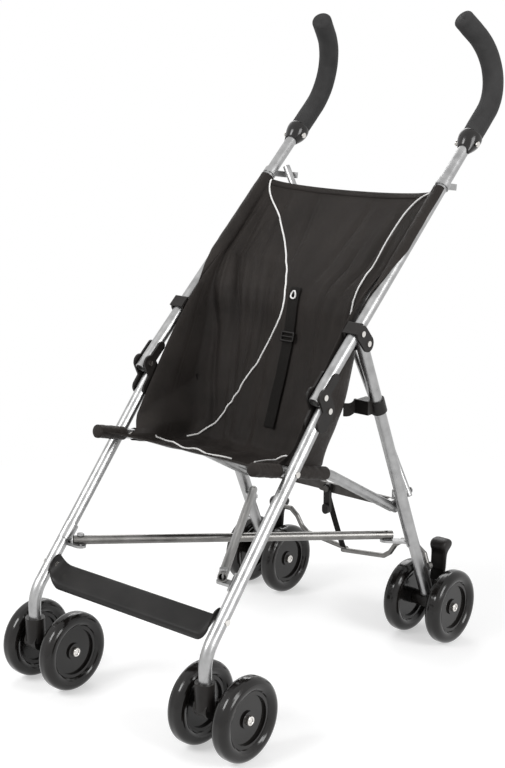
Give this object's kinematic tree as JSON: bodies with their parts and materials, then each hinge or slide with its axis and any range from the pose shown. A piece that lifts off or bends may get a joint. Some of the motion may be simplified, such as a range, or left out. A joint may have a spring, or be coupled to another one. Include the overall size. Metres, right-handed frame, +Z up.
{
  "type": "umbrella stroller",
  "caption": "Folding umbrella stroller: hooked foam grips, tube side frames with crossed braces and a toggle lock, hammock seat, footrest, twin-wheel castors and rear foot brakes.",
  "frame": {"origin": "on the floor under the middle of the bounding box", "axes": "+Z up, -Y towards the front (the footrest), +X towards the right side frame as seen from the front"},
  "size_m": [0.46, 0.7553, 1.024],
  "materials": {
    "tube": "satin",
    "trim_plastic": "gloss",
    "foam": "matte",
    "wheel": "gloss",
    "rivet": "satin",
    "rod": "satin",
    "bar": "satin",
    "cloth": "matte",
    "webbing": "matte",
    "footrest": "matte",
    "black_plastic": "matte"
  },
  "bodies": {
    "left_frame": {"handle_tube_left": "tube", "grip_left": "foam", "grip_collar_left": "trim_plastic", "pivot_bracket_left": "black_plastic", "lock_channel_left": "black_plastic", "front_leg_left": "tube", "rear_leg_left": "tube", "seat_rail_left": "tube", "rear_joint_left": "tube", "brace_bracket_left": "tube", "brace_saddle_left": "tube", "strap_clip_left": "black_plastic", "rivets_left": "rivet", "rear_hub_left": "black_plastic", "rear_axle_left": "rivet", "side_strap_left": "webbing", "lift_strap": "webbing", "footrest": "footrest", "seat": "cloth", "harness_strap": "webbing", "strap_slider": "black_plastic"},
    "right_frame": {"handle_tube_right": "tube", "grip_right": "foam", "grip_collar_right": "trim_plastic", "pivot_bracket_right": "black_plastic", "lock_channel_right": "black_plastic", "front_leg_right": "tube", "rear_leg_right": "tube", "seat_rail_right": "tube", "rear_joint_right": "tube", "brace_bracket_right": "tube", "brace_saddle_right": "tube", "strap_clip_right": "black_plastic", "rivets_right": "rivet", "rear_hub_right": "black_plastic", "rear_axle_right": "rivet", "side_strap_right": "webbing"},
    "castor_left": {"castor_left": "black_plastic", "front_axle_left": "rivet"},
    "lower_brace_left": {"lower_brace_left": "tube"},
    "rear_brace_left": {"rear_brace_left": "tube"},
    "toggle_left": {"toggle_left": "bar"},
    "brake_pedal_left": {"brake_pedal_left": "black_plastic"},
    "spreader_left": {"spreader_left": "rod"},
    "front_wheel_left_outer": {"front_wheel_left_outer": "wheel"},
    "rear_wheel_left_outer": {"rear_wheel_left_outer": "wheel"},
    "front_wheel_left_inner": {"front_wheel_left_inner": "wheel"},
    "rear_wheel_left_inner": {"rear_wheel_left_inner": "wheel"},
    "castor_right": {"castor_right": "black_plastic", "front_axle_right": "rivet"},
    "lower_brace_right": {"lower_brace_right": "tube"},
    "rear_brace_right": {"rear_brace_right": "tube"},
    "toggle_right": {"toggle_right": "bar"},
    "brake_pedal_right": {"brake_pedal_right": "black_plastic"},
    "spreader_right": {"spreader_right": "rod"},
    "front_wheel_right_outer": {"front_wheel_right_outer": "wheel"},
    "rear_wheel_right_outer": {"rear_wheel_right_outer": "wheel"},
    "front_wheel_right_inner": {"front_wheel_right_inner": "wheel"},
    "rear_wheel_right_inner": {"rear_wheel_right_inner": "wheel"},
    "lock_lever": {"lock_lever": "black_plastic"}
  },
  "joints": [
    {"name": "fold", "type": "slide", "parent": "left_frame", "child": "right_frame", "axis": [-1, 0, 0], "range_m": [0, 0.1], "deforming": ["seat", "harness_strap", "strap_slider", "footrest", "lift_strap"]},
    {"name": "lower_brace_left_pivot", "type": "hinge", "parent": "left_frame", "child": "lower_brace_left", "pos_m": [-0.145, -0.28179, 0.22943], "axis": [0, 0.0907, 0.9959], "range_deg": [0, 13.13]},
    {"name": "rear_brace_left_pivot", "type": "hinge", "parent": "left_frame", "child": "rear_brace_left", "pos_m": [-0.16, 0.16874, 0.262], "axis": [0, -0.9888, 0.1495], "range_deg": [0, 10.94]},
    {"name": "toggle_left_pivot", "type": "hinge", "parent": "left_frame", "child": "toggle_left", "pos_m": [-0.148, 0.14539, 0.244], "axis": [0, -1, 0], "range_deg": [0, 48.56]},
    {"name": "spreader_left_pivot", "type": "hinge", "parent": "left_frame", "child": "spreader_left", "pos_m": [-0.175, 0.21138, 0.124], "axis": [0, -1, 0], "range_deg": [0, 48.84]},
    {"name": "castor_left_swivel", "type": "hinge", "parent": "left_frame", "child": "castor_left", "pos_m": [-0.175, -0.35263, 0.1], "axis": [0, 0, 1], "continuous": true},
    {"name": "front_wheel_left_outer_spin", "type": "hinge", "parent": "castor_left", "child": "front_wheel_left_outer", "pos_m": [-0.216, -0.31613, 0.0615], "axis": [1, 0, 0], "continuous": true},
    {"name": "rear_wheel_left_outer_spin", "type": "hinge", "parent": "left_frame", "child": "rear_wheel_left_outer", "pos_m": [-0.216, 0.20848, 0.0615], "axis": [1, 0, 0], "continuous": true},
    {"name": "front_wheel_left_inner_spin", "type": "hinge", "parent": "castor_left", "child": "front_wheel_left_inner", "pos_m": [-0.134, -0.31613, 0.0615], "axis": [1, 0, 0], "continuous": true},
    {"name": "rear_wheel_left_inner_spin", "type": "hinge", "parent": "left_frame", "child": "rear_wheel_left_inner", "pos_m": [-0.134, 0.20848, 0.0615], "axis": [1, 0, 0], "continuous": true},
    {"name": "brake_pedal_left_hinge", "type": "hinge", "parent": "left_frame", "child": "brake_pedal_left", "pos_m": [-0.175, 0.23248, 0.0835], "axis": [-1, 0, 0], "range_deg": [0, 25]},
    {"name": "lower_brace_right_pivot", "type": "hinge", "parent": "right_frame", "child": "lower_brace_right", "pos_m": [0.145, -0.28041, 0.24457], "axis": [0, -0.0907, -0.9959], "range_deg": [0, 13.13]},
    {"name": "rear_brace_right_pivot", "type": "hinge", "parent": "right_frame", "child": "rear_brace_right", "pos_m": [0.16, 0.15549, 0.264], "axis": [0, 0.9888, -0.1495], "range_deg": [0, 10.94]},
    {"name": "toggle_right_pivot", "type": "hinge", "parent": "right_frame", "child": "toggle_right", "pos_m": [0.148, 0.13959, 0.244], "axis": [0, 1, 0], "range_deg": [0, 48.56]},
    {"name": "spreader_right_pivot", "type": "hinge", "parent": "right_frame", "child": "spreader_right", "pos_m": [0.175, 0.20148, 0.124], "axis": [0, 1, 0], "range_deg": [0, 48.84]},
    {"name": "castor_right_swivel", "type": "hinge", "parent": "right_frame", "child": "castor_right", "pos_m": [0.175, -0.35263, 0.1], "axis": [0, 0, 1], "continuous": true},
    {"name": "front_wheel_right_outer_spin", "type": "hinge", "parent": "castor_right", "child": "front_wheel_right_outer", "pos_m": [0.216, -0.31613, 0.0615], "axis": [1, 0, 0], "continuous": true},
    {"name": "rear_wheel_right_outer_spin", "type": "hinge", "parent": "right_frame", "child": "rear_wheel_right_outer", "pos_m": [0.216, 0.20848, 0.0615], "axis": [1, 0, 0], "continuous": true},
    {"name": "front_wheel_right_inner_spin", "type": "hinge", "parent": "castor_right", "child": "front_wheel_right_inner", "pos_m": [0.134, -0.31613, 0.0615], "axis": [1, 0, 0], "continuous": true},
    {"name": "rear_wheel_right_inner_spin", "type": "hinge", "parent": "right_frame", "child": "rear_wheel_right_inner", "pos_m": [0.134, 0.20848, 0.0615], "axis": [1, 0, 0], "continuous": true},
    {"name": "brake_pedal_right_hinge", "type": "hinge", "parent": "right_frame", "child": "brake_pedal_right", "pos_m": [0.175, 0.23248, 0.0835], "axis": [-1, 0, 0], "range_deg": [0, 25]},
    {"name": "lock_lever_hinge", "type": "hinge", "parent": "toggle_right", "child": "lock_lever", "pos_m": [0.016, 0.13317, 0.244], "axis": [0, 1, 0], "range_deg": [-25, 25]}
  ],
  "couplings": [
    {"joint": "lower_brace_left_pivot", "follows": "fold", "rad_per_m": 2.2883},
    {"joint": "rear_brace_left_pivot", "follows": "fold", "rad_per_m": 1.9067},
    {"joint": "toggle_left_pivot", "follows": "fold", "rad_per_m": 8.471},
    {"joint": "spreader_left_pivot", "follows": "fold", "rad_per_m": 8.5214},
    {"joint": "lower_brace_right_pivot", "follows": "fold", "rad_per_m": 2.2883},
    {"joint": "rear_brace_right_pivot", "follows": "fold", "rad_per_m": 1.9067},
    {"joint": "toggle_right_pivot", "follows": "fold", "rad_per_m": 8.471},
    {"joint": "spreader_right_pivot", "follows": "fold", "rad_per_m": 8.5214}
  ]
}
